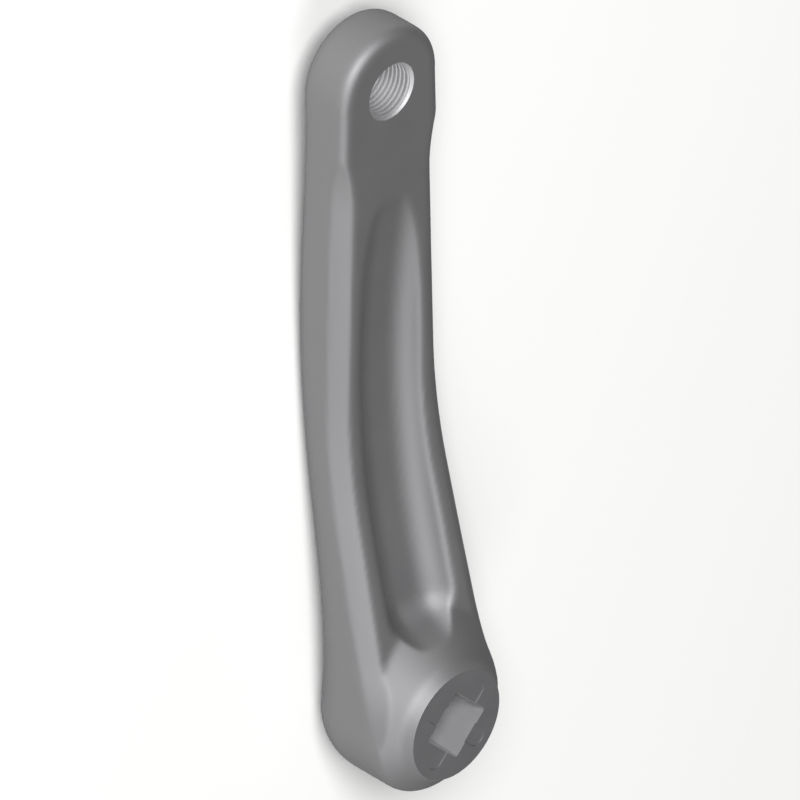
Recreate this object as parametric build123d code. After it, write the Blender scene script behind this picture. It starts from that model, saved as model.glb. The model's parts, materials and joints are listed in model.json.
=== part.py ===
from build123d import *
import os
from math import acos, asin, cos, degrees, radians, sin, sqrt, tan

# Crank arm of a bicycle: one aluminium forging with three machined places, the
# square socket, the extractor bore behind it and the pedal eye.
# X runs from the spindle to the pedal, Z is the spindle axis and points at the frame,
# and the origin is the middle of the boss's inner face. Millimetres and degrees.

# Plan outline: a round end about each axis, joined by straight tapering sides
crank_length = 170.0
boss_radius = 20.3
eye_radius = 16.0

# Inner side in profile: level at the pedal eye, then rising to the boss
eye_face_z = -21.4
land_angle = 13.0
knee_x = 72.4
knee_radius = 155.0
land_end_x = 18.6

# Outer side: thickness, and rounding of the long edges, from the eye to the boss
eye_thickness = 14.7
eye_back_round = 4.0
eye_back_from_pedal = 40.0
belly_x = 92.0
belly_depth = 1.5
belly_back_round = 7.5
waist_x = 36.0
waist_back_round = 11.0
boss_thickness = 32.3
boss_back_round = 13.0

# Boss that stands proud of the arm, and the flare at its foot
boss_face_radius = 14.3
boss_foot_radius = 15.8
boss_foot_depth = 2.6
boss_foot_round = 3.0
flare_angle = 38.0

# Bevel along the inner edges: it runs out before the pedal eye and climbs the boss's flank,
# where it grows steeper until flank_steep_x
edge_round = 3.0
bevel_leg = 4.3
bevel_angle = 45.0
runout_from_pedal = 29.0
runout_radius = 50.0
flank_start_x = 24.0
flank_radius = 218.0
flank_steep_x = 2.0
flank_end_x = -5.0
flank_angle = 62.0
flank_sections = 7

# Long pocket in the inner side
pocket_width = 21.3
pocket_round = 8.0
pocket_rim_round = 2.2
pocket_end_from_pedal = 30.5
pocket_ramp_angle = 11.3
pocket_depth = 5.8
pocket_wall_x = 20.0
pocket_wall_z = -6.1
pocket_wall_angle = 66.0
pocket_heel_round = 9.0

# Square socket for the spindle, with shallow relief slots across its flats
square_across = 13.4
square_taper = 2.0
square_corner_round = 0.8
socket_depth = 19.5
relief_width = 5.2
relief_reach = 12.1
relief_depth = 0.25

# Bore for the extractor tool behind the socket, whose floor is the bolt's seat
extractor_bore = 21.0
extractor_bevel = 0.6
facing_depth = 1.3
facing_radius = 13.5

# Pedal eye
pedal_bore = 13.2
pedal_bevel = 0.75

land_slope = tan(radians(land_angle))
eye_back_z = eye_face_z - eye_thickness
margin = 10.0
crossing = 0.02
across_arm = Plane(origin=(0, 0, 0), x_dir=(0, 1, 0), z_dir=(1, 0, 0))


def half_width(x):
    """Half the plan width at x, along the straight sides."""
    return boss_radius + (eye_radius - boss_radius) * x / crank_length


def land_z(x):
    """Height of the inner profile between the knee and the boss."""
    return eye_face_z + land_slope * (knee_x - x)


def flare_z(radius):
    """Height of the flare at a distance from the spindle axis."""
    return -boss_foot_depth - (radius - boss_foot_radius) * tan(radians(flare_angle))


def rounding(start, corner, end):
    """Rounded corner as forged: a cubic that leaves one edge and joins the other smoothly."""
    start, corner, end = Vector(*start), Vector(*corner), Vector(*end)
    turn = radians((corner - start).get_angle(end - corner))
    handle = 4 / 3 * tan(turn / 4) / tan(turn / 2)
    return Bezier(start, start + (corner - start) * handle, end + (corner - end) * handle, end)


def closed_face(curves, *corners):
    """Face inside the curves and the straight edges that lead from their end to their start."""
    points = [curves[-1] @ 1, *corners, curves[0] @ 0]
    return make_face(Curve() + curves + [Polyline(*points)])


def back_corner(half, back_z, radius):
    """Rounded outer corner of a section, for the half width given."""
    return rounding((half, back_z + radius), (half, back_z), (half - radius, back_z))


def outer_section(x, back_z, radius):
    """Section across the arm with round outer corners, open to the inner side."""
    half = half_width(x)
    right = back_corner(half, back_z, radius)
    left = mirror(right, about=Plane.YZ)
    floor = Line((half - radius, back_z), (radius - half, back_z))
    section = make_face(
        Curve()
        + [right, floor, left]
        + [Polyline((-half, back_z + radius), (-half, margin), (half, margin), (half, back_z + radius))]
    )
    return Pos(x, 0, 0) * (across_arm * section)


def outer_end(x, back_z, radius, turn):
    """Half-round end of the arm about the axis at x."""
    half = half_width(x)
    corner = back_corner(half, back_z, radius)
    section = closed_face([corner], (0, back_z), (0, margin), (half, margin))
    return revolve(Pos(x, 0, 0) * (across_arm * section), Axis((x, 0, 0), (0, 0, 1)), turn)


def outer_body():
    """What the outline and the outer side enclose, up to above the boss."""
    stations = [
        (0.0, -boss_thickness, boss_back_round),
        (waist_x, -boss_thickness, waist_back_round),
        (belly_x, eye_back_z - belly_depth, belly_back_round),
        (crank_length - eye_back_from_pedal, eye_back_z, eye_back_round),
        (crank_length, eye_back_z, eye_back_round),
    ]
    limb = loft([outer_section(*station) for station in stations])
    boss_end = outer_end(0.0, -boss_thickness, boss_back_round, 180)
    eye_end = outer_end(crank_length, eye_back_z, eye_back_round, -180)
    return limb + boss_end + eye_end


def above_land():
    """Space over the inner side, from past the eye to past the boss."""
    far_x = crank_length + 2 * eye_radius
    near_x = -2 * boss_radius
    shelf_z = land_z(land_end_x)
    corners = [
        (far_x, eye_face_z),
        (knee_x, eye_face_z),
        (land_end_x, shelf_z),
        (near_x, shelf_z),
        (near_x, 2 * margin),
        (far_x, 2 * margin),
    ]
    profile = make_face(Polyline(*corners, close=True))
    knee = profile.vertices().sort_by_distance((knee_x, eye_face_z))[0]
    return extrude(Plane.XZ * fillet(knee, knee_radius), 2 * boss_radius, both=True)


def boss():
    """Boss with its flare, turned about the spindle axis."""
    reach = 2 * boss_radius
    foot = (boss_foot_radius, -boss_foot_depth)
    corners = [(0, 0), (boss_face_radius, 0), foot, (reach, flare_z(reach)), (0, flare_z(reach))]
    outline = make_face(Polyline(*corners, close=True))
    outline = fillet(outline.vertices().sort_by_distance(foot)[0], boss_foot_round)
    return revolve(Plane.XZ * outline, Axis.Z)


def pocket():
    """Long pocket with a bowed floor that ends parallel to the rising land."""
    end_x = crank_length - pocket_end_from_pedal
    ramp_slope = tan(radians(pocket_ramp_angle))
    wall_slope = tan(radians(pocket_wall_angle))
    floor_z = land_z(0) - pocket_depth
    bow_x = (floor_z - eye_face_z + ramp_slope * end_x) / (ramp_slope + land_slope)
    bow = (bow_x, floor_z - land_slope * bow_x)
    bow_tangent = (end_x - bow_x) / cos(radians(pocket_ramp_angle))
    bow_radius = bow_tangent / tan(radians(pocket_ramp_angle + land_angle) / 2)
    heel_x = (wall_slope * pocket_wall_x + pocket_wall_z - floor_z) / (wall_slope - land_slope)
    heel = (heel_x, floor_z - land_slope * heel_x)
    top_x = pocket_wall_x + (pocket_wall_z - margin) / wall_slope
    past_end = (end_x + margin, eye_face_z + ramp_slope * margin)

    corners = [past_end, bow, heel, (top_x, margin), (past_end[0], margin)]
    profile = make_face(Polyline(*corners, close=True))
    profile = fillet(profile.vertices().sort_by_distance(bow)[0], bow_radius)
    profile = fillet(profile.vertices().sort_by_distance(heel)[0], pocket_heel_round)
    trough = extrude(Plane.XZ * profile, pocket_width / 2, both=True)
    sides = trough.edges().filter_by(Axis.Y, reverse=True).filter_by(Axis.Z, reverse=True)
    floor_edges = sides.filter_by_position(Axis.Z, -boss_thickness, margin / 2)
    return fillet(floor_edges, pocket_round)


def inner_space():
    """What is open on the inner side: over the land round the boss, and the pocket."""
    over = above_land()
    trough = pocket()
    both = over + trough
    rim = new_edges(over, trough, combined=both)
    return (fillet(rim, pocket_rim_round) - boss()) + trough


def wall_round(angle):
    """Rounding from the wall to a slope at the angle, with the sharp corner at the origin."""
    tangent = edge_round * tan(radians(90 - angle) / 2)
    slope = (-cos(radians(angle)), sin(radians(angle)))
    foot = (0, -tangent)
    top = (tangent * slope[0], tangent * slope[1])
    return slope, top, rounding(foot, (0, 0), top)


def rounded_edge_cut(angle):
    """Outline of what rounds a sloping edge off: x leads out of the wall, y up it."""
    slope, top, arc = wall_round(angle)
    foot = arc @ 0
    return closed_face([arc], (margin, top[1]), (margin, foot.Y))


def sloping_cut(angle, reach):
    """Outline of a bevel that starts round at the wall and runs on up its slope."""
    slope, top, arc = wall_round(angle)
    foot = arc @ 0
    head = (reach * slope[0], reach * slope[1])
    return closed_face([arc, Line(top, head)], (margin, head[1]), (margin, foot.Y))


def bevel_cut(angle, leg):
    """Outline of a bevel that is round at the wall and at the land."""
    slope, top, arc = wall_round(angle)
    foot = arc @ 0
    tangent = edge_round * tan(radians(angle) / 2)
    corner = (-leg, leg * tan(radians(angle)))
    head = (corner[0] - tangent * slope[0], corner[1] - tangent * slope[1])
    land = (corner[0] - tangent, corner[1])
    roof = corner[1] + margin
    curves = [arc, Line(top, head), rounding(head, corner, land)]
    return closed_face(curves, (land[0], roof), (margin, roof), (margin, foot.Y))


def flank_cut(climb, outwards):
    """What the boss's flank leaves free, over the line that its corner climbs along."""
    sections = []
    for step in range(flank_sections):
        part = step / (flank_sections - 1)
        corner = climb @ part
        share = min((land_end_x - corner.X) / (land_end_x - flank_steep_x), 1)
        angle = bevel_angle + (flank_angle - bevel_angle) * share**2 * (3 - 2 * share)
        place = Plane(origin=corner, x_dir=outwards, z_dir=-(climb % part))
        sections.append(place * sloping_cut(angle, boss_radius))
    return loft(sections)


def edge_cuts():
    """Bevels along both inner edges and their roundings at the two ends of the arm."""
    taper = boss_radius - eye_radius
    along_side = (crank_length, -taper, 0)
    outside = boss_radius + crossing
    side = Plane(origin=(0, outside, 0), x_dir=along_side, z_dir=(-taper, -crank_length, 0))
    outwards = -side.z_dir
    stretch = sqrt(crank_length**2 + taper**2) / crank_length
    corner_z = eye_face_z - bevel_leg
    runout = (stretch * (crank_length - runout_from_pedal), corner_z)
    flank_start = Vector(stretch * flank_start_x, land_z(flank_start_x) - bevel_leg)
    knee = Vector(stretch * knee_x, corner_z)
    straight = FilletPolyline(flank_start, knee, runout, radius=knee_radius)
    runout_turn = degrees(acos(1 - 2 * bevel_leg / runout_radius))
    rise = CenterArc((runout[0], runout[1] + runout_radius), runout_radius, -90, runout_turn)

    uphill = (flank_start - knee).normalized()
    flank_centre = flank_start + Vector(uphill.Y, -uphill.X) * flank_radius

    def flank_arc(from_x, to_x):
        """Arc of the flank's corner between two places along the side."""
        start, end = (degrees(asin((flank_centre.X - stretch * x) / flank_radius)) for x in (from_x, to_x))
        return CenterArc(flank_centre, flank_radius, -90 - start, start - end)

    path = side * Wire([flank_arc(land_end_x, flank_start_x)] + straight.edges() + rise.edges())
    at_start = Plane(origin=path @ 0, x_dir=outwards, z_dir=path % 0)
    long_bevel = sweep(at_start * bevel_cut(bevel_angle, bevel_leg + crossing), path=path)

    flank = flank_cut(side * flank_arc(land_end_x, flank_end_x), outwards)

    eye_end = side.from_local_coords((stretch * crank_length + edge_round, eye_face_z + crossing, 0))
    at_eye = Plane(origin=eye_end, x_dir=outwards, z_dir=-side.x_dir)
    eye_side = extrude(at_eye * rounded_edge_cut(0), edge_round + stretch * runout_from_pedal)

    pedal_axis = Axis((crank_length, 0, 0), (0, 0, 1))
    eye_edge = Pos(eye_radius + crossing, eye_face_z + crossing) * rounded_edge_cut(0)
    eye_round = revolve(Pos(crank_length, 0, 0) * (across_arm * eye_edge), pedal_axis, -180)
    boss_edge = Pos(outside, flare_z(boss_radius) + crossing) * rounded_edge_cut(flare_angle)
    boss_round = revolve(across_arm * boss_edge, Axis.Z, 180)
    one_side = [long_bevel, flank, eye_side]
    return one_side + [mirror(cut, about=Plane.XZ) for cut in one_side] + [eye_round, boss_round]


def spindle_socket():
    """Square that narrows outboard, corners on X and Y, and the relief slots at its mouth."""

    def square(z):
        side = square_across + 2 * z * tan(radians(square_taper))
        return Pos(0, 0, z) * Rot(0, 0, 45) * RectangleRounded(side, side, square_corner_round)

    socket = loft([square(margin), square(-socket_depth - margin)])
    slot = extrude(SlotOverall(2 * relief_reach, relief_width), -relief_depth)
    return [socket, Rot(0, 0, 45) * slot, Rot(0, 0, 135) * slot]


def extractor_recess():
    """Outer facing, bore and bevelled mouth round the spindle axis."""
    facing_z = facing_depth - boss_thickness
    radius = extractor_bore / 2
    corners = [
        (0, -socket_depth),
        (radius, -socket_depth),
        (radius, facing_z + extractor_bevel),
        (radius + extractor_bevel, facing_z),
        (facing_radius, facing_z),
        (facing_radius, -boss_thickness - margin),
        (0, -boss_thickness - margin),
    ]
    return revolve(Plane.XZ * make_face(Polyline(*corners, close=True)), Axis.Z)


def pedal_eye():
    """Bore of the pedal eye with both mouths bevelled."""
    radius = pedal_bore / 2
    mouth = radius + pedal_bevel + margin
    corners = [
        (0, eye_face_z + margin),
        (mouth, eye_face_z + margin),
        (radius, eye_face_z - pedal_bevel),
        (radius, eye_back_z + pedal_bevel),
        (mouth, eye_back_z - margin),
        (0, eye_back_z - margin),
    ]
    bore = revolve(Plane.XZ * make_face(Polyline(*corners, close=True)), Axis.Z)
    return Pos(crank_length, 0, 0) * bore


arm = outer_body() - inner_space()
for cut in edge_cuts() + spindle_socket() + [extractor_recess(), pedal_eye()]:
    arm -= cut

os.makedirs("parts", exist_ok=True)
export_step(arm, "parts/crank_arm.step")
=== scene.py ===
import json
import math

import bmesh
import bpy
import numpy as np
from mathutils import Matrix, Vector


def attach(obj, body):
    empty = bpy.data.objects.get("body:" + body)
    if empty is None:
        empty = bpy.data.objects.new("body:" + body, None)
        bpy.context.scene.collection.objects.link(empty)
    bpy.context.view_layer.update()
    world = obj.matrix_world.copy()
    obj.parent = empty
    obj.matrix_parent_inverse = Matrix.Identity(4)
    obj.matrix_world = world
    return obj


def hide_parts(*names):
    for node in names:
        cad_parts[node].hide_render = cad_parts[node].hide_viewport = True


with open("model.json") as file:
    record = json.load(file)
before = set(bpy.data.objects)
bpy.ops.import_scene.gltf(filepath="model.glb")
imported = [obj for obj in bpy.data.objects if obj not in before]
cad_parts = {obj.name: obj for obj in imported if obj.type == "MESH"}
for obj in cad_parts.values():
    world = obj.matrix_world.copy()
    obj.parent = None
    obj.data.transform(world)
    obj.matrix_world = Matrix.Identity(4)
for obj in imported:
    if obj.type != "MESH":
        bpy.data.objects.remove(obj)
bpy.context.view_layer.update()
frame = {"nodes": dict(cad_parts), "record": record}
mounts = {mount["name"]: mount for mount in frame["record"]["mounts"]}
mm = 0.001
roundSteps = 96               # sides of every turned shape
print("frame loaded:", ", ".join(frame["nodes"]))


# Camera: an equal-angle view with the arm's length upright in the picture
shot = {
    "towardsCamera": (1, 1, 1),
    "pictureUp": (2, -1, -1),
    "pixelsPerMetre": 4292,
    "pictureSide": 800,       # pixels
    "originPixel": (456.6, 726.6),   # where the spindle socket's mouth lies in the picture
    "depth": 0.040,           # m, middle of the arm along the line of sight
    "lens": 1500,             # mm, long enough to be nearly parallel
    "sensor": 36,             # mm
    "clip": (0.5, 3),         # shares of the distance, well clear of the arm and the floor
}


def makeCamera():
    back = Vector(shot["towardsCamera"]).normalized()
    up = Vector(shot["pictureUp"]).normalized()
    right = up.cross(back)
    half = shot["pictureSide"] / 2
    across = (half - shot["originPixel"][0]) / shot["pixelsPerMetre"]
    upwards = (shot["originPixel"][1] - half) / shot["pixelsPerMetre"]
    target = right * across + up * upwards + back * shot["depth"]
    distance = shot["pictureSide"] / shot["pixelsPerMetre"] * shot["lens"] / shot["sensor"]
    data = bpy.data.cameras.new("shotCamera")
    data.sensor_width = shot["sensor"]
    data.lens = shot["lens"]
    data.clip_start, data.clip_end = (share * distance for share in shot["clip"])
    camera = bpy.data.objects.new("shotCamera", data)
    turn = Matrix((right, up, back)).transposed().to_4x4()
    camera.matrix_world = Matrix.Translation(target + back * distance) @ turn
    bpy.context.scene.collection.objects.link(camera)
    bpy.context.scene.camera = camera
    return target


target = makeCamera()
print("camera set")


# sRGB hex to linear
def linear(hexColour):
    channels = [int(hexColour[i:i + 2], 16) / 255 for i in (1, 3, 5)]
    return [c / 12.92 if c <= 0.04045 else ((c + 0.055) / 1.055) ** 2.4 for c in channels] + [1]


# Adds a node. Links and settings name its sockets by identifier, and other settings are
# properties of the node
def addNode(tree, kind, links=None, **settings):
    node = tree.nodes.new(kind)
    sockets = {socket.identifier: socket for socket in node.inputs}
    for name, value in settings.items():
        if name in sockets:
            sockets[name].default_value = value
        else:
            setattr(node, name, value)
    for name, source in (links or {}).items():
        tree.links.new(source, sockets[name])
    return node


studio = {
    "worldColour": "#ffffff",
    "worldStrength": 0.16,
    "lamps": {
        # Near the camera, so that surfaces turned to it are the brightest
        "key": {"direction": (0.6, 0.47, 0.65), "distance": 3, "size": 1.6, "power": 112},
        # Overhead and behind, which the bevel and the pocket mirror but the flat faces don't
        "overhead": {"direction": (-0.5, 0.5, 0.707), "distance": 3, "size": 2, "power": 36},
    },
}


def makeStudio():
    scene = bpy.context.scene
    scene.view_settings.view_transform = "Standard"
    world = bpy.data.worlds.new("studio")
    world.use_nodes = True
    sky = world.node_tree.nodes["Background"]
    sky.inputs["Color"].default_value = linear(studio["worldColour"])
    sky.inputs["Strength"].default_value = studio["worldStrength"]
    scene.world = world
    for name, plan in studio["lamps"].items():
        lamp = bpy.data.lights.new(name, "AREA")
        lamp.shape = "DISK"
        lamp.size = plan["size"]
        lamp.energy = plan["power"]
        item = bpy.data.objects.new(name, lamp)
        towards = Vector(plan["direction"]).normalized()
        item.location = target + towards * plan["distance"]
        item.rotation_mode = "QUATERNION"
        item.rotation_quaternion = towards.to_track_quat("Z", "Y")
        scene.collection.objects.link(item)


makeStudio()
print("lights set")


# The arm rests on its outer side, on the belly of the arm and the boss's outer edge,
# so the floor touches the lower hull of its side view there. Lengths in metres
floorPaper = {
    "radius": 6,
    "colour": "#eaeae9",
    "roughness": 0.9,
    "gloss": 0.2,             # specular level
    "gap": 0.00005,
    "massX": 0.0678,          # middle of the arm's mass along X
    "decimals": 5,            # to which the hull's points are rounded
}


# The stretch of the lower hull, seen from the side, that the arm's mass lies over
def restEdge():
    vertices = frame["nodes"]["crank_arm"].data.vertices
    decimals = floorPaper["decimals"]
    points = sorted({(round(v.co.x, decimals), round(v.co.z, decimals)) for v in vertices})
    hull = []
    for p in points:
        while len(hull) > 1:
            a, b = hull[-2], hull[-1]
            if (b[0] - a[0]) * (p[1] - a[1]) - (b[1] - a[1]) * (p[0] - a[0]) > 0:
                break
            hull.pop()
        hull.append(p)
    for a, b in zip(hull, hull[1:]):
        if a[0] <= floorPaper["massX"] <= b[0]:
            return a, b


def makeFloor():
    low, high = restEdge()
    slope = math.atan2(high[1] - low[1], high[0] - low[0])
    print("floor slope in degrees:", round(math.degrees(slope), 2))
    bpy.ops.mesh.primitive_circle_add(vertices=roundSteps, radius=floorPaper["radius"], fill_type="NGON")
    floor = bpy.context.object
    floor.name = "floor"
    floor.location = ((low[0] + high[0]) / 2, 0, (low[1] + high[1]) / 2 - floorPaper["gap"])
    floor.rotation_euler = (0, -slope, 0)
    # Matt uncoated paper: hardly any gloss, so it shows only the arm's soft shadow
    paper = bpy.data.materials.new("matt_paper")
    paper.use_nodes = True
    shader = paper.node_tree.nodes["Principled BSDF"]
    shader.inputs["Base Color"].default_value = linear(floorPaper["colour"])
    shader.inputs["Roughness"].default_value = floorPaper["roughness"]
    shader.inputs["Specular IOR Level"].default_value = floorPaper["gloss"]
    floor.data.materials.append(paper)


makeFloor()
print("floor laid")


# The forging as it leaves the dies: the node's form with the machined places filled in again
# and every forged edge softened. Sizes in mm
forging = {
    "facetEdge": 2.0,         # longest edge left after the facets are rounded
    "voxel": 0.62,            # grain of the skin that joins everything
    "softness": 0.5,          # share of the way to its neighbours that a pass moves a point
    "softPasses": 5,
    "faceRadius": 14.3,       # the boss's flat face
    "stubHeight": 3.0,        # how far the boss stands up before it is faced
    "stubRadius": 12.57,
    "coreRadius": 12.7,       # what fills the boss's socket and bore
    "coreTop": -2.0,
    "coreBottom": -28.0,
    "backRadius": 20.3,       # the boss's rounded back
    "backRound": 13.0,
    "backDepth": 32.3,
    "backTurn": 28,           # degrees of the back's rounding that the facing reaches
    "backSteps": 6,
    "eyeCoreRadius": 8.0,     # what fills the pedal's bore
    # The rounding of the eye's edge runs on along both sides until the bevels take over
    "edgeRound": 3.0,
    "edgeSteps": 12,
    "edgeFrom": (148, 16.56),     # X, and how far out the side is there
    "edgeTo": (170.4, 15.99),
}

# How a triangle is cut for each set of its edges that get a midpoint: corners are 0 to 2,
# and 3 to 5 are the midpoints after them
triangleCuts = {
    0: [(0, 1, 2)],
    1: [(0, 3, 2), (3, 1, 2)],
    2: [(1, 4, 0), (4, 2, 0)],
    4: [(2, 5, 1), (5, 0, 1)],
    3: [(3, 1, 4), (0, 3, 4), (0, 4, 2)],
    6: [(4, 2, 5), (1, 4, 5), (1, 5, 0)],
    5: [(5, 0, 3), (2, 5, 3), (2, 3, 1)],
    7: [(0, 3, 5), (3, 1, 4), (5, 4, 2), (3, 4, 5)],
}


# The mesh's points, each of them once, its triangles and the normals at their corners
def readMesh(mesh):
    mesh.calc_loop_triangles()
    points = np.empty((len(mesh.vertices), 3), dtype=np.float32)
    normals = np.empty((len(mesh.loops), 3), dtype=np.float32)
    faces = np.empty((len(mesh.loop_triangles), 3), dtype=np.int32)
    loops = faces.copy()
    mesh.vertices.foreach_get("co", points.ravel())
    mesh.corner_normals.foreach_get("vector", normals.ravel())
    mesh.loop_triangles.foreach_get("vertices", faces.ravel())
    mesh.loop_triangles.foreach_get("loops", loops.ravel())
    points, merged = np.unique(points, axis=0, return_inverse=True)
    return points.astype(float), merged.ravel()[faces], normals.astype(float)[loops]


def dot(a, b):
    return (a * b).sum(axis=-1, keepdims=True)


# Halves long edges until none is left and lifts each midpoint to where the surface's normals
# say that the true curve runs
def roundedFacets(mesh, longest):
    points, faces, normals = readMesh(mesh)
    while True:
        ends = np.stack([faces, np.roll(faces, -1, axis=1)], axis=2)
        edges, index = np.unique(np.sort(ends, axis=2).reshape(-1, 2), axis=0, return_inverse=True)
        index = index.ravel()
        lengths = np.linalg.norm(points[edges[:, 1]] - points[edges[:, 0]], axis=1)
        split = lengths > longest
        if not split.any():
            return points, faces
        following = np.roll(normals, -1, axis=1)
        run = points[ends[:, :, 1]] - points[ends[:, :, 0]]
        bulge = (dot(run, following) * following - dot(run, normals) * normals) / 8
        middles = points[edges].mean(axis=1)
        shares = np.bincount(index, minlength=len(edges))
        for axis in range(3):
            middles[:, axis] += np.bincount(index, bulge[:, :, axis].ravel(), len(edges)) / shares
        place = np.full(len(edges), -1)
        place[split] = len(points) + np.arange(split.sum())
        points = np.concatenate([points, middles[split]])
        between = place[index].reshape(-1, 3)
        code = (between >= 0) @ np.array([1, 2, 4])
        corners = np.concatenate([faces, between], axis=1)
        middleNormals = normals + following
        middleNormals /= np.sqrt(dot(middleNormals, middleNormals))
        normals = np.concatenate([normals, middleNormals], axis=1)
        parts = [(code == key, cut) for key in triangleCuts for cut in triangleCuts[key]]
        faces = np.concatenate([corners[chosen][:, cut] for chosen, cut in parts])
        normals = np.concatenate([normals[chosen][:, cut] for chosen, cut in parts])


def addObject(name, bm):
    mesh = bpy.data.meshes.new(name)
    bm.to_mesh(mesh)
    bm.free()
    item = bpy.data.objects.new(name, mesh)
    bpy.context.scene.collection.objects.link(item)
    return item


# Adds what a profile of (radius, height) sweeps round a vertical axis, from pole to pole,
# with the first point at the top
def addTurned(bm, profile, centreX=0.0):
    rings = []
    for radius, height in profile:
        angles = [2 * math.pi * k / roundSteps for k in range(roundSteps if radius else 1)]
        places = [(centreX + radius * math.cos(a), radius * math.sin(a), height) for a in angles]
        rings.append([bm.verts.new(Vector(p) * mm) for p in places])
    for upper, lower in zip(rings, rings[1:]):
        for k in range(roundSteps):
            pairs = [(upper, k + 1), (upper, k), (lower, k), (lower, k + 1)]
            corners = [ring[i % len(ring)] for ring, i in pairs]
            bm.faces.new(list(dict.fromkeys(corners)))


# Places along the arm, from the mounts. Sizes in mm
pedalX = mounts["pedal_thread"]["pos_m"][0] / mm
eyeMiddle = mounts["pedal_thread"]["pos_m"][2] / mm
eyeBack = mounts["pedal_seat"]["pos_m"][2] / mm
eyeFace = 2 * eyeMiddle - eyeBack
socketEnd = mounts["bolt_seat"]["pos_m"][2] / mm
pedalBore = mounts["pedal_thread"]["dims"]["r_mm"]
extractorBore = mounts["extractor_thread"]["dims"]["r_mm"]


# The arm with a plug through its boss and one in its eye
def makeForging():
    points, faces = roundedFacets(frame["nodes"]["crank_arm"].data, forging["facetEdge"] * mm)
    bm = bmesh.new()
    corners = [bm.verts.new(p) for p in points.tolist()]
    for face in faces.tolist():
        bm.faces.new([corners[i] for i in face])
    centre = forging["backRadius"] - forging["backRound"]
    plug = [
        (0, forging["stubHeight"]),
        (forging["stubRadius"], forging["stubHeight"]),
        (forging["faceRadius"], 0),
        (forging["coreRadius"], forging["coreTop"]),
        (forging["coreRadius"], forging["coreBottom"]),
    ]
    for step in range(forging["backSteps"] + 1):
        turn = math.radians(forging["backTurn"] * (1 - step / forging["backSteps"]))
        drop = forging["backDepth"] - forging["backRound"] * (1 - math.cos(turn))
        plug.append((centre + forging["backRound"] * math.sin(turn), -drop))
    addTurned(bm, plug + [(0, -forging["backDepth"])])
    eyeCore = forging["eyeCoreRadius"]
    addTurned(bm, [(0, eyeFace), (eyeCore, eyeFace), (eyeCore, eyeBack), (0, eyeBack)], pedalX)
    return addObject("crank_arm_finished", bm)


# Adds the solid between two outlines that have as many points each
def addPrism(bm, outlines):
    first, second = [[bm.verts.new(Vector(p) * mm) for p in outline] for outline in outlines]
    count = len(first)
    for k in range(count):
        following = (k + 1) % count
        bm.faces.new([first[following], first[k], second[k], second[following]])
    bm.faces.new(first)
    bm.faces.new(list(reversed(second)))
    bmesh.ops.recalc_face_normals(bm, faces=bm.faces)


def edgeCutter(side):
    bm = bmesh.new()
    radius, steps = forging["edgeRound"], forging["edgeSteps"]
    outlines = []
    for x, edge in (forging["edgeFrom"], forging["edgeTo"]):
        outline = [
            (x, side * (edge + radius), eyeFace - radius),
            (x, side * (edge + radius), eyeFace + radius),
            (x, side * (edge - radius), eyeFace + radius),
        ]
        for step in range(steps + 1):
            angle = math.pi / 2 * (1 - step / steps)
            out = edge - radius + radius * math.cos(angle)
            outline.append((x, side * out, eyeFace - radius + radius * math.sin(angle)))
        outlines.append(outline)
    addPrism(bm, outlines)
    return addObject("edgeTool", bm)


def addRemesh(piece):
    remesh = piece.modifiers.new("oneSkin", "REMESH")
    remesh.mode = "VOXEL"
    remesh.voxel_size = forging["voxel"] * mm


def addCuts(piece, cutters):
    for cutter in cutters:
        cut = piece.modifiers.new(cutter.name, "BOOLEAN")
        cut.operation = "DIFFERENCE"
        cut.solver = "MANIFOLD"
        cut.object = cutter


# Joins the arm and its plugs to one skin, rounds the eye's edges and softens all the others
def forge(piece, cutters):
    addRemesh(piece)
    addCuts(piece, cutters)
    addRemesh(piece)
    soften = piece.modifiers.new("forgedEdges", "SMOOTH")
    soften.factor = forging["softness"]
    soften.iterations = forging["softPasses"]


finished = makeForging()
edgeTools = [edgeCutter(1), edgeCutter(-1)]
forge(finished, edgeTools)
print("forging made")


# What the machining takes away. Sizes in mm
machining = {
    "bossAbove": 5.0,         # height and radius of the cut that faces the boss
    "bossReach": 18.0,
    "squareAcross": 13.4,     # across the flats at the socket's mouth
    "squareTaper": 2.0,       # degrees for each flat
    "squareRound": 0.8,
    "squareSteps": 6,
    "slotWidth": 5.2,
    "slotReach": 12.1,        # from the spindle's axis to the slot's round end
    "slotDepth": 0.25,
    "slotFlat": 0.001,        # flat beside each end's rounding, so that no points coincide
    "slotSteps": 10,
    "facing": -31.0,          # height of the turned facing on the outer side
    "facingRadius": 13.5,
    "extractorBevel": 0.6,
    "pedalBevel": 0.75,
    "overrun": 4.0,           # how far a cutter passes the surface that it cuts
    "mergeDistance": 0.0003,  # points closer than this, where two cuts meet, become one
}

# Threads cut into the bores, which have the threads' minor radii in the frame. The pedal's is
# left-handed, as on every left arm: an arm without a spider for chainrings is the left one
threads = {
    "pedal": {"major": 7.144, "pitch": 1.27, "hand": -1},
    "extractor": {"major": 11.0, "pitch": 1.0, "hand": 1},
    "runOut": 2.5,            # pitches left uncut at the extractor thread's inner end
    "clearance": 0.05,        # from a tap's core to the bore's wall
    "steps": 72,              # to each turn
    "minorFlat": 0.38,        # shares of the pitch
    "flank": 0.247,
    "majorFlat": 0.126,
}


def flatFaceCutter():
    bm = bmesh.new()
    above, reach = machining["bossAbove"], machining["bossReach"]
    addTurned(bm, [(0, above), (reach, above), (reach, 0), (0, 0)])
    return addObject("facingTool", bm)


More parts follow.
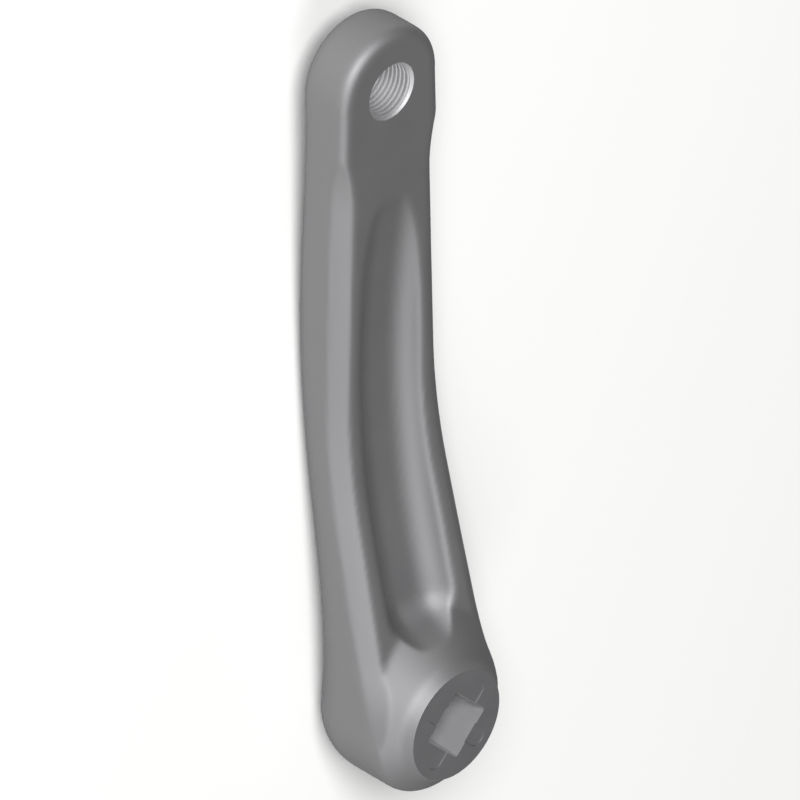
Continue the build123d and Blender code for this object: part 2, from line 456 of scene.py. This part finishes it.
# A rectangle with round corners at one height, turned about the spindle's axis
def roundedOutline(halfX, halfY, radius, turn, height, steps):
    outline = []
    for quarter, (signX, signY) in enumerate([(1, 1), (-1, 1), (-1, -1), (1, -1)]):
        for step in range(steps + 1):
            angle = math.pi / 2 * (quarter + step / steps)
            x = signX * (halfX - radius) + radius * math.cos(angle)
            y = signY * (halfY - radius) + radius * math.sin(angle)
            outline.append(Matrix.Rotation(turn, 3, "Z") @ Vector((x, y, height)))
    return outline


def squareCutter():
    bm = bmesh.new()
    slope = math.tan(math.radians(machining["squareTaper"]))
    corner, steps = machining["squareRound"], machining["squareSteps"]
    outlines = []
    for height in (machining["overrun"], socketEnd - machining["overrun"]):
        half = machining["squareAcross"] / 2 + height * slope
        outlines.append(roundedOutline(half, half, corner, math.pi / 4, height, steps))
    addPrism(bm, outlines)
    return addObject("broach", bm)


def slotCutter(turn):
    bm = bmesh.new()
    reach, half = machining["slotReach"], machining["slotWidth"] / 2
    end, steps = half - machining["slotFlat"], machining["slotSteps"]
    heights = (machining["overrun"], -machining["slotDepth"])
    addPrism(bm, [roundedOutline(reach, half, end, turn, height, steps) for height in heights])
    return addObject("reliefMill", bm)


def recessCutter():
    bm = bmesh.new()
    bevel, facing = machining["extractorBevel"], machining["facing"]
    below = -forging["backDepth"] - machining["overrun"]
    wide = machining["facingRadius"]
    addTurned(bm, [
        (0, socketEnd),
        (extractorBore, socketEnd),
        (extractorBore, facing + bevel),
        (extractorBore + bevel, facing),
        (wide, facing),
        (wide, below),
        (0, below),
    ])
    return addObject("recessTool", bm)


def pedalCutter():
    bm = bmesh.new()
    bevel, over = machining["pedalBevel"], machining["overrun"]
    wide = pedalBore + bevel + over
    profile = [
        (0, eyeFace + over),
        (wide, eyeFace + over),
        (pedalBore, eyeFace - bevel),
        (pedalBore, eyeBack + bevel),
        (wide, eyeBack - over),
        (0, eyeBack - over),
    ]
    addTurned(bm, profile, pedalX)
    return addObject("pedalDrill", bm)


# A tap: a rod whose radius follows the thread's profile along a helix. The first column is
# longer by one turn's rows, because the last column meets it one turn higher
def tap(name, bore, thread, centreX, low, high):
    bm = bmesh.new()
    minor, major = bore - threads["clearance"], thread["major"]
    pitch, steps = thread["pitch"], threads["steps"]
    flat, flank = threads["minorFlat"], threads["flank"]
    shares = (0, flat, flat + flank, flat + flank + threads["majorFlat"])
    radii = (minor, minor, major, major)
    perTurn = len(shares)
    rows = perTurn * math.ceil((high - low) / pitch)
    columns = []
    for k in range(steps):
        angle = thread["hand"] * 2 * math.pi * k / steps
        column = []
        for row in range(rows + 1 + (0 if k else perTurn)):
            turn, corner = divmod(row, perTurn)
            height = low + pitch * (turn + shares[corner] + k / steps)
            radius = radii[corner]
            place = Vector((centreX + radius * math.cos(angle), radius * math.sin(angle), height))
            column.append(bm.verts.new(place * mm))
        columns.append(column)
    first = columns[0]
    for left, right in zip(columns, columns[1:] + [first[perTurn:]]):
        for row in range(rows):
            bm.faces.new([left[row], right[row], right[row + 1], left[row + 1]])
    ends = [
        [column[0] for column in columns] + first[perTurn:0:-1],
        [column[rows] for column in columns] + first[rows + perTurn:rows:-1],
    ]
    for ring in ends:
        middle = sum((v.co for v in ring), Vector()) / len(ring)
        centre = bm.verts.new((centreX * mm, 0, middle.z))
        for a, b in zip(ring, ring[1:] + ring[:1]):
            bm.faces.new([centre, a, b])
    bmesh.ops.recalc_face_normals(bm, faces=bm.faces)
    return addObject(name, bm)


# Turns the modifiers into one mesh
def applyCuts(piece):
    evaluated = piece.evaluated_get(bpy.context.evaluated_depsgraph_get())
    shaped = bpy.data.meshes.new_from_object(evaluated)
    shaped.name = piece.name
    piece.modifiers.clear()
    piece.data = shaped
    bm = bmesh.new()
    bm.from_mesh(shaped)
    distance = machining["mergeDistance"] * mm
    bmesh.ops.remove_doubles(bm, verts=bm.verts, dist=distance)
    bmesh.ops.dissolve_degenerate(bm, dist=distance, edges=bm.edges)
    bm.to_mesh(shaped)
    bm.free()


overrun = machining["overrun"]
threadEnd = socketEnd - threads["extractor"]["pitch"] * threads["runOut"]
tools = [
    flatFaceCutter(),
    slotCutter(math.pi / 4),
    slotCutter(-math.pi / 4),
    squareCutter(),
    recessCutter(),
    pedalCutter(),
    tap("pedalTap", pedalBore, threads["pedal"], pedalX, eyeBack - overrun, eyeFace + overrun),
    tap("extractorTap", extractorBore, threads["extractor"], 0, machining["facing"] - overrun, threadEnd),
]
addCuts(finished, tools)
applyCuts(finished)
for tool in edgeTools + tools:
    bpy.data.objects.remove(tool)
print("machined places cut:", len(finished.data.polygons), "faces")


# Forged, blasted and clear anodised aluminium: an even, silky mid grey, with painted shade darkening its
# tight hollows and creases. Sizes in mm
forgedSkin = {
    "colour": "#969698",          # the clear skin dulls the bare metal a little
    "paleColour": "#9a9a9b",      # where the blasting bit deeper
    "paintedShadeColour": "#4c4c4e",    # painted shade: darker in tight hollows and creases
    "paintedShadeRange": (0.479, 0.492),     # pointiness over which the painted shade fades out: a flat face has 0.5
    "patch": 14,                  # how wide a paler or darker patch is
    "roughness": (0.65, 0.67),
    "grazingColour": "#303031",   # the pitted skin swallows light that grazes it
    "grain": 0.6,                 # drawn coarser than the true 0.1, which is under half a pixel
    "depth": 0.012,
}

# Turned aluminium under the same clear skin: the boss's two faces, with rings from the tool
turnedSkin = {
    "colour": "#9a9a9c",
    "paleColour": "#9e9ea0",
    "patch": 9,
    "roughness": (0.61, 0.64),
    "grazingColour": "#606062",
    "feed": 0.8,                  # pitch of the turning marks, drawn coarser than the true 0.15
    "depth": 0.005,
}

# Bare broached and tapped aluminium: the socket and the bores, brighter because uncoated, and paler still
# as painted light that lifts the shade falling deep inside them
cutSkin = {
    "colour": "#c6c6c8",
    "paleColour": "#cbcbcc",
    "patch": 5,
    "roughness": (0.66, 0.7),
    "grazingColour": "#a0a0a2",
    "grain": 0.5,                 # faint tool chatter
    "depth": 0.006,
}

# What the skins share
skinPattern = {
    "patchDetail": 3,
    "patchRange": (0.3, 0.7),     # where nearly all values of the patches' noise lie
    "grainDetail": 2,
    "ringPeriod": math.pi / 10,   # a ring wave's period at scale 1
}


def colourOutput(node):
    return next(socket for socket in node.outputs if socket.type == "RGBA")


# A metal whose tone and gloss drift in patches, with the fine marks that its making left, and painted shade
# in hollows where the skin asks for it
def makeSkin(name, skin):
    metal = bpy.data.materials.new(name)
    metal.use_nodes = True
    tree = metal.node_tree
    shader = tree.nodes["Principled BSDF"]
    shader.inputs["Metallic"].default_value = 1
    shader.inputs["Specular Tint"].default_value = linear(skin["grazingColour"])
    place = addNode(tree, "ShaderNodeTexCoord").outputs["Object"]
    patches = addNode(tree, "ShaderNodeTexNoise", {"Vector": place},
                      Scale=1 / (skin["patch"] * mm), Detail=skinPattern["patchDetail"]).outputs["Fac"]
    tone = addNode(tree, "ShaderNodeMix", {"Factor_Float": patches}, data_type="RGBA",
                   A_Color=linear(skin["colour"]), B_Color=linear(skin["paleColour"]))
    # Painted shade: the colour darkens towards the shade colour where low pointiness shows a hollow or
    # crease
    if "paintedShadeRange" in skin:
        fullShadePointiness, flat = skin["paintedShadeRange"]
        shape = addNode(tree, "ShaderNodeNewGeometry").outputs["Pointiness"]
        unshadedShare = addNode(tree, "ShaderNodeMapRange", {"Value": shape},
                           **{"From Min": fullShadePointiness, "From Max": flat})
        links = {"Factor_Float": unshadedShare.outputs["Result"], "B_Color": colourOutput(tone)}
        tone = addNode(tree, "ShaderNodeMix", links, data_type="RGBA", A_Color=linear(skin["paintedShadeColour"]))
    smoothest, roughest = skin["roughness"]
    low, high = skinPattern["patchRange"]
    gloss = addNode(tree, "ShaderNodeMapRange", {"Value": patches},
                    **{"From Min": low, "From Max": high, "To Min": smoothest, "To Max": roughest})
    if "grain" in skin:
        relief = addNode(tree, "ShaderNodeTexNoise", {"Vector": place},
                         Scale=1 / (skin["grain"] * mm), Detail=skinPattern["grainDetail"])
    else:
        relief = addNode(tree, "ShaderNodeTexWave", {"Vector": place}, wave_type="RINGS",
                         rings_direction="Z", Scale=skinPattern["ringPeriod"] / (skin["feed"] * mm))
    bump = addNode(tree, "ShaderNodeBump", {"Height": relief.outputs["Fac"]}, Distance=skin["depth"] * mm)
    tree.links.new(colourOutput(tone), shader.inputs["Base Color"])
    tree.links.new(gloss.outputs["Result"], shader.inputs["Roughness"])
    tree.links.new(bump.outputs["Normal"], shader.inputs["Normal"])
    return metal


# The machined places are told from the forged skin by where their faces lie
zones = {
    "margin": 0.05,               # mm past a cut within which a face still belongs to it
    "rimMargin": 0.02,            # mm, the same round the boss's face, where its flank starts
    "sharpFrom": 24,              # degrees between two faces whose edge is shaded as a sharp one
}


def dress(piece):
    mesh = piece.data
    mesh.materials.clear()
    mesh.materials.append(makeSkin("aluminium_forged_blasted_anodised", forgedSkin))
    mesh.materials.append(makeSkin("aluminium_turned_anodised", turnedSkin))
    mesh.materials.append(makeSkin("aluminium_broached_and_tapped", cutSkin))
    centres = np.empty((len(mesh.polygons), 3), dtype=np.float32)
    mesh.polygons.foreach_get("center", centres.ravel())
    x, y, z = centres.T / mm
    fromSpindle = np.hypot(x, y)
    margin = zones["margin"]
    inRecess = fromSpindle < machining["facingRadius"] + margin
    inEye = np.hypot(x - pedalX, y) < pedalBore + machining["pedalBevel"] + margin
    onBoss = fromSpindle < forging["faceRadius"] + zones["rimMargin"]
    faced = onBoss & (z > -machining["slotDepth"] - margin)
    faced |= inRecess & (z < machining["facing"] + margin)
    kinds = np.where(faced, 1, np.where(inRecess | inEye, 2, 0))
    mesh.polygons.foreach_set("material_index", kinds.astype(np.int32))
    mesh.shade_smooth()
    mesh.set_sharp_from_angle(angle=math.radians(zones["sharpFrom"]))


dress(finished)
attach(finished, "root")
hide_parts("crank_arm")
print("metal on:", len(finished.data.materials), "materials")

bpy.context.view_layer.update()
